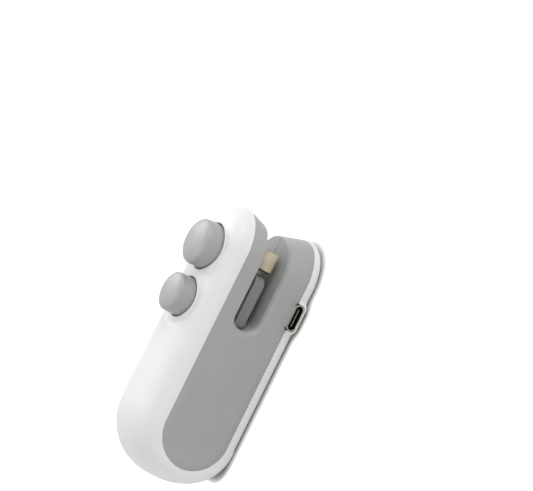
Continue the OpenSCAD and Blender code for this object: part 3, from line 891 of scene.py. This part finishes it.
def guard_outline():
    """The bar from the side, from its top inner corner round the bottom, evenly spaced."""
    r_in, r_out = slot_r - guard_inset, 1.3
    line = [(guard_x0, guard_top)]
    line += [(slot_end + r_in * math.cos(t), slot_mid + r_in * math.sin(t))
             for t in np.linspace(math.pi, 1.5 * math.pi, 40)
             if slot_mid + r_in * math.sin(t) > guard_low]
    line += [(guard_x1 - r_out + r_out * math.sin(t), guard_low + r_out - r_out * math.cos(t))
             for t in np.linspace(0, math.pi / 2, 24)]
    line += [(guard_x1, guard_top)]
    x, z = np.array(line).T
    return np.stack(even(x, z, 110), -1)


def guard_bar():
    """The bar, run across the part with soft side edges, a rounded outer end and a narrower neck."""
    x, z = guard_outline().T
    depths = [(guard_half - guard_soft + guard_soft * math.sin(t), guard_soft * (1 - math.cos(t)))
              for t in np.linspace(math.pi / 2, 0, 5)]
    stations = depths + [(y, 0.0) for y in np.linspace(guard_half - 0.8, -guard_half + 0.8, 40)]
    stations += [(-y, shrink) for y, shrink in depths[::-1]]
    share = np.clip((x - plan_pivot) / (guard_x1 - plan_pivot), 0, 1)
    up_share = np.where(z < soft_top, 1.0, 0.0)
    width = np.where(z > shoulder_z, neck_half / guard_half, 1.0)
    rows = []
    for y, shrink in stations:
        over = max(0.0, abs(y) - (guard_half - plan_r))
        end_x = guard_x1 - plan_r + math.sqrt(max(0.0, plan_r ** 2 - over ** 2))
        rounded = x - share * (guard_x1 - end_x)
        inward = np.clip((guard_mid - rounded) / soft_run, -1, 1)
        rows.append(np.stack([rounded + inward * shrink, y * width, z + up_share * shrink], -1))
    half = len(x) // 2
    ends = [skin([[row[i], row[-1 - i]] for i in range(half)]) for row in (rows[0], rows[-1])]
    lid = skin([[row[0], row[-1]] for row in rows])
    return solid("blade_guard_bar", skin(rows), lid, *ends)


guard = guard_bar()
flange_y = guard_half + flange_w
flange = block((guard_x0 - flange_w, flange_x1), (-flange_y, flange_y),
               (guard_top - 0.01, guard_top + flange_t))
carrier_room = block((guard_x0 + 0.7, guard_x0 + 6.2), (-4.75, 4.75), (guard_low + 1.5, past_top))
slit_y = blade_half + 0.5
slit = block((blade_x - 0.5, blade_x + 0.5), (-slit_y, slit_y), (0, past_top))
carve(guard, flange, operation="UNION")
carve(guard, carrier_room, slit)
dress(soft_shaded(guard, 40), guard_abs, "guard_gray", "blade_guard")


# ---- Heating head ----
# Cream glass-cloth tape, folded down one face of a fired ceramic block, under it and up the other. It is
# woven and slightly slack at its lower fold. Its colour is darker along its top, painted shade under the
# upper jaw, and also darker towards its bottom and its end nearer the cutter.
heater_low = 14.6
wrap_t = 0.3
wrap_gap = 2.2
wrap_fold_r = 0.55
holder_low = 26.25
weave_rate = 9000.0
lightest_tape_z = 17.4
block_soft = 0.25
foot_l = 0.45
foot_top = 20.2


def cloth_tape():
    """Two crossed waves for the weave, over a blotched cream that is darker along the top as painted shade
    under the upper jaw, and darker towards the bottom and the end nearer the cutter.
    """
    finish = Finish("glass_cloth_tape")
    place = finish.node("TexCoord", out="Object")
    x, y, z = (finish.node("SeparateXYZ", sockets={0: place}, out=k) for k in range(3))
    weave = ((y + z) * weave_rate).math("SINE") * (x * weave_rate).math("SINE")
    blotch = finish.node("TexNoise", sockets={"Vector": place, "Scale": 420.0, "Detail": 4.0})
    # Painted shade along the top, under the upper jaw; the tape also darkens towards its bottom and its end
    # nearer the cutter.
    top_shade_and_edge_darkening = (z - lightest_tape_z * mm).math("ABSOLUTE") * 120.0 + (heater_x * mm - x) * 34.0
    creams = [(0.15, srgb("D8CDB6")), (0.55, srgb("C0B296")), (0.95, srgb("97815F"))]
    tone = finish.node("ValToRGB", {"stops": creams}, {"Fac": blotch * 0.5 + top_shade_and_edge_darkening})
    relief = weave + blotch * 1.5
    bump = finish.node("Bump", sockets={"Height": relief, "Strength": 0.5, "Distance": 0.00006})
    return finish.surface(finish.node("BsdfPrincipled", sockets={
        "Base Color": tone, "Roughness": 0.58, "Normal": bump}))


def tape_line(out):
    """The fold in the plane across the part, out from the block's face."""
    half = heater_w / 2 + out
    low = heater_low + wrap_t - out
    r = wrap_fold_r + out
    turn = np.linspace(0, math.pi / 2, 8)
    right_half = [(half, z) for z in np.linspace(holder_low - wrap_gap, low + r, 14)]
    right_half += [(half - r + r * math.cos(t), low + r - r * math.sin(t)) for t in turn[1:]]
    right_half += [(y, low) for y in np.linspace(half - r, 0, 12)[1:]]
    left_half = [(-y, z) for y, z in right_half[:-1][::-1]]
    return np.array(right_half + left_half)


def tape_skin():
    """The fold's outer face, rippled down its sides and slack under the block, its flat inner face, and
    the thickness between them along all four edges."""
    inner = tape_line(0.0)
    y, z = tape_line(wrap_t).T
    half, w = heater_w / 2, (heater_l + 0.3) / 2
    side_share = np.sign(y) * np.clip(np.abs(y) / half - 0.85, 0, 0.15) / 0.15
    under_share = np.where(np.abs(y) < half - 0.2, 1.0, 0.0)
    rng = np.random.default_rng(7)
    long_wave, short_wave, long_sag, short_sag, edge_wave = rng.uniform(0, 2 * math.pi, 5)
    rows = []
    for x in np.linspace(-w + 0.35, w, 25):
        ripple = 0.05 * np.sin(1.3 * x + 0.5 * z + long_wave)
        ripple += 0.035 * np.sin(2.9 * x - 0.9 * z + short_wave)
        slack = 0.07 * np.sin(1.7 * x + long_sag) + 0.05 * np.sin(3.7 * x + short_sag)
        edge = 0.05 * np.sin(0.8 * z + edge_wave) * np.sign(x)
        rows.append(np.stack([x + heater_x + edge, y + side_share * ripple * 0.6,
                              z + under_share * np.clip(slack, -0.1, 0.1) * 0.8], -1))
    inner_rows = [np.stack([row[:, 0], inner[:, 0], inner[:, 1]], -1) for row in rows]
    hems = [skin([rows[k], inner_rows[k]]) for k in (0, -1)]
    hems += [skin([[row[k] for row in rows], [row[k] for row in inner_rows]]) for k in (0, -1)]
    return [skin(rows), skin(inner_rows), *hems]


def ceramic_block():
    """The block with soft edges and a low foot that stands out past the tape towards the cutter."""
    x0, x1, half = heater_x - heater_l / 2, heater_x + heater_l / 2, heater_w / 2
    low = heater_low + wrap_t
    levels = [(low, -block_soft, foot_l - block_soft), (low + block_soft, 0.0, foot_l),
              (foot_top, 0.0, foot_l), (foot_top + foot_l, 0.0, 0.0), (holder_low, 0.0, 0.0)]
    rows = []
    for z, out, step in levels:
        side = half + out
        corners = [(x0 - step, -side), (x1 + out, -side), (x1 + out, side), (x0 - step, side)]
        rows.append([(x, y, z) for x, y in corners + corners[:1]])
    lids = [skin([[(heater_x, 0, row[0][2])] * 5, row]) for row in (rows[0], rows[-1])]
    return solid("heater_ceramic_block", skin(rows), *lids)


def mottled(name, dark, light, scale, roughness, grain=0.3):
    """A matt material whose colour drifts between two tones."""
    finish = Finish(name)
    place = finish.node("TexCoord", out="Object")
    drift = finish.node("TexNoise", sockets={"Vector": place, "Scale": scale, "Detail": 4.0})
    tone = finish.node("ValToRGB", {"stops": [(0.3, srgb(dark)), (0.7, srgb(light))]}, {"Fac": drift})
    bump = finish.node("Bump", sockets={"Height": drift, "Strength": grain, "Distance": 0.00005})
    return finish.surface(finish.node("BsdfPrincipled", sockets={
        "Base Color": tone, "Roughness": drift * 0.1 + (roughness - 0.05), "Normal": bump}))


tape = soft_shaded(solid("heater_tape_fold", *tape_skin()), 50)
dress(tape, cloth_tape(), "heater_tape", "heater_wrap", body="sealing_head")
dress(soft_shaded(ceramic_block(), 40), mottled("fired_ceramic", "2C2721", "453D33", 500.0, 0.75, 0.6),
      "heater_ceramic", "heater_block", body="sealing_head")


# ---- Return springs ----
# Each is coiled from round steel wire with a closed turn at both ends. It stands on the button frame and
# bears under the dome, which shortens it as its button goes down; here it is drawn at one length.
coil_turns = 6
closed_turn = 0.8


def metal(name, colour, roughness):
    """Bright or brushed metal with fine scratches in its gloss."""
    finish = Finish(name)
    place = finish.node("TexCoord", out="Object")
    smear = finish.node("TexNoise", sockets={"Vector": place, "Scale": 700.0, "Detail": 5.0})
    light = srgb(colour)
    dark = tuple(c * 0.86 for c in light)
    tone = finish.node("ValToRGB", {"stops": [(0.3, dark), (0.7, light)]}, {"Fac": smear})
    bump = finish.node("Bump", sockets={"Height": smear, "Strength": 0.25, "Distance": 0.00002})
    return finish.surface(finish.node("BsdfPrincipled", sockets={
        "Base Color": tone, "Metallic": 1.0, "Roughness": smear * 0.2 + (roughness - 0.1), "Normal": bump}))


def coil(x, mean_r, wire_r):
    """Skin of a coil spring between the frame and the dome, with its end turns flat."""
    around, sides = 40, 10
    low, high = deck_top + wire_r, cap_roof - wire_r
    ring = [2 * math.pi * k / sides for k in range(sides + 1)]
    rows = []
    for i in range(coil_turns * around + 1):
        turn = i / around
        climb = min(1.0, max(0.0, (turn - closed_turn) / (coil_turns - 2 * closed_turn)))
        z = low + (high - low) * climb
        t = 2 * math.pi * turn
        spots = [(mean_r + wire_r * math.cos(b), z + wire_r * math.sin(b)) for b in ring]
        rows.append([(r * math.cos(t) + x, r * math.sin(t), height) for r, height in spots])
    ends = [skin([[tuple(np.mean(row[:-1], 0))] * (sides + 1), row]) for row in (rows[0], rows[-1])]
    return [skin(rows), *ends]


spring_steel = metal("spring_wire", "C2C3C5", 0.28)
for name, x, mean_r, wire_r, joint, travel, node in (
        ("seal_return_spring", seal_x, 5.0, 0.35, "seal_press", seal_travel, "seal_spring"),
        ("cut_return_spring", cut_x, 4.2, 0.3, "cut_press", cut_travel, "cut_spring")):
    spring = soft_shaded(solid(name, *coil(x, mean_r, wire_r)), 50)
    dress(spring, spring_steel, "spring_steel", node)
    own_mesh(spring)


# ---- Charging port ----
# A drawn steel shell, tinned outside, its inside faces given a near-black colour as painted shade, round a
# nylon tongue that carries two rows of flat contacts and a steel plate along its middle.
sheet = 0.26
floor_t = 1.0
tongue_w = 6.7
tongue_t = 0.7
tongue_inset = 0.5
tongue_soft = 0.25
contact_count = 12
contact_pitch = 0.5
contact_w = 0.26
contact_proud = 0.02
contact_y = (usb_face + 1.1, usb_face + 4.6)
plate_half = 2.9
plate_t = 0.12


def stadium(y, inset=0.0):
    """A closed line round the port at depth y: two half circles joined by flats."""
    r = usb_h / 2 - inset
    side = usb_w / 2 - usb_h / 2
    right_half = [(side + r * math.sin(t), -r * math.cos(t)) for t in np.linspace(0, math.pi, 14)]
    left_half = [(-x, -z) for x, z in right_half]
    return [(port_x + x, y, usb_z + z) for x, z in right_half + left_half + right_half[:1]]


def socket_shell():
    """The shell from its back, over the outside, round the rolled mouth and in to the floor."""
    back_y = usb_face + usb_l
    floor_y = back_y - floor_t
    line = [(back_y, 0.0), (usb_face + 0.08, 0.0), (usb_face + 0.02, 0.03), (usb_face, 0.1),
            (usb_face, sheet - 0.08), (usb_face + 0.06, sheet), (floor_y, sheet)]
    rows = [stadium(y, inset) for y, inset in line]
    back_end, floor_end = [[(port_x, y, usb_z)] * len(rows[0]) for y in (back_y, floor_y)]
    return solid("port_shell", skin([back_end, *rows, floor_end]))


tinned = metal("tinned_shell", "CFC8BA", 0.3)
# Painted shade: a near-black colour for the shell's inside stands in for the shade deep in the port.
port_painted_shade = mottled("port_inside_painted_shade", "0E0E0F", "171718", 500.0, 0.5, 0.1)
port_shell = dress(soft_shaded(socket_shell(), 40), tinned, "socket_steel", "usb_socket")
port_shell.data.materials.append(port_painted_shade)
# Faces inside the shell, or facing into it, take the painted-shade material.
inside_y = (usb_face + 0.12) * mm
for face in port_shell.data.polygons:
    middle = face.center
    inward = face.normal.dot(Vector((port_x * mm - middle.x, 0, usb_z * mm - middle.z)))
    if middle.y > inside_y and (inward > 1e-6 or face.normal.y < -0.9):
        face.material_index = 1


def tongue_skin():
    """The tongue, thinned to a round nose at its front edge."""
    nose_y, root_y = usb_face + tongue_inset, usb_face + usb_l - floor_t
    rows = []
    for y, share in ((nose_y, 0.0), (nose_y, 0.35), (nose_y + 0.08, 0.7), (nose_y + 0.25, 0.92),
                     (nose_y + 0.45, 1.0), (root_y, 1.0), (root_y, 0.0)):
        half = (tongue_w / 2 - tongue_soft * (1 - share)) * (share > 0)
        t = tongue_t / 2 * share
        corners = ((-half, -t), (half, -t), (half, t), (-half, t), (-half, -t))
        rows.append([(port_x + i, y, usb_z + k) for i, k in corners])
    return skin(rows)


dress(soft_shaded(solid("port_tongue", tongue_skin()), 40),
      mottled("port_tongue_nylon", "1A1A1C", "29292C", 500.0, 0.35, 0.15), "chip_black", "usb_tongue")


def contacts():
    """Flat contacts in a row on each side of the tongue, and the plate's edge along its nose."""
    parts = []
    for k in range(contact_count):
        x = port_x + (k - (contact_count - 1) / 2) * contact_pitch
        for side in (-1, 1):
            z = sorted(usb_z + side * (tongue_t / 2 + out) for out in (-contact_proud, contact_proud))
            parts.append(box((x - contact_w / 2, x + contact_w / 2), contact_y, z))
    parts.append(box((port_x - plate_half, port_x + plate_half), (usb_face + 0.46, usb_face + 0.9),
                     (usb_z - plate_t / 2, usb_z + plate_t / 2)))
    return solid("port_contacts", *parts)


dress(contacts(), metal("contact_plate", "D8CFB8", 0.25), "nickel")


# ---- Works inside ----
# Screws, button frame, stems, carriers, blade, contact strips, battery cell, board and leads. They are
# shown as packed, each in the finish of its own make: moulded ABS, nylon and acetal, plated or ground
# steel, rolled copper and nickel, a shrunk sleeve and a soldered board.
works = {
    "base_screws": metal("zinc_screw", "B8B9BB", 0.34),
    "frame_screws": metal("zinc_screw_small", "B8B9BB", 0.34),
    "button_frame": mottled("natural_abs", "D2D2CD", "DCDCD7", 120.0, 0.5),
    "seal_plunger": mottled("acetal", "D0D0CA", "DADAD5", 120.0, 0.4),
    "cut_plunger": mottled("acetal_small", "D0D0CA", "DADAD5", 120.0, 0.4),
    "heater_holder": mottled("dark_nylon", "303032", "3A3A3D", 200.0, 0.5),
    "blade_carrier": mottled("dark_nylon_small", "303032", "3A3A3D", 200.0, 0.5),
    "blade": metal("ground_steel", "C9CBCD", 0.2),
    "contact_strips": metal("copper_strip", "C07A4A", 0.32),
    "battery_cell": mottled("cell_sleeve", "2F5E96", "3A6CA6", 60.0, 0.35, 0.1),
    "battery_tabs": metal("nickel_tab", "BDBBB4", 0.36),
    "charge_board": mottled("board_mask", "17592F", "1F6B3B", 260.0, 0.4, 0.15),
    "board_parts": mottled("moulded_chip", "1B1B1D", "28282B", 500.0, 0.55, 0.2),
    "wire_harness": mottled("wire_sleeve", "A32A2A", "B53434", 90.0, 0.45, 0.1),
}
for node, material in works.items():
    shown = soft_shaded(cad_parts[node])
    shown.data.materials.clear()
    shown.data.materials.append(material)
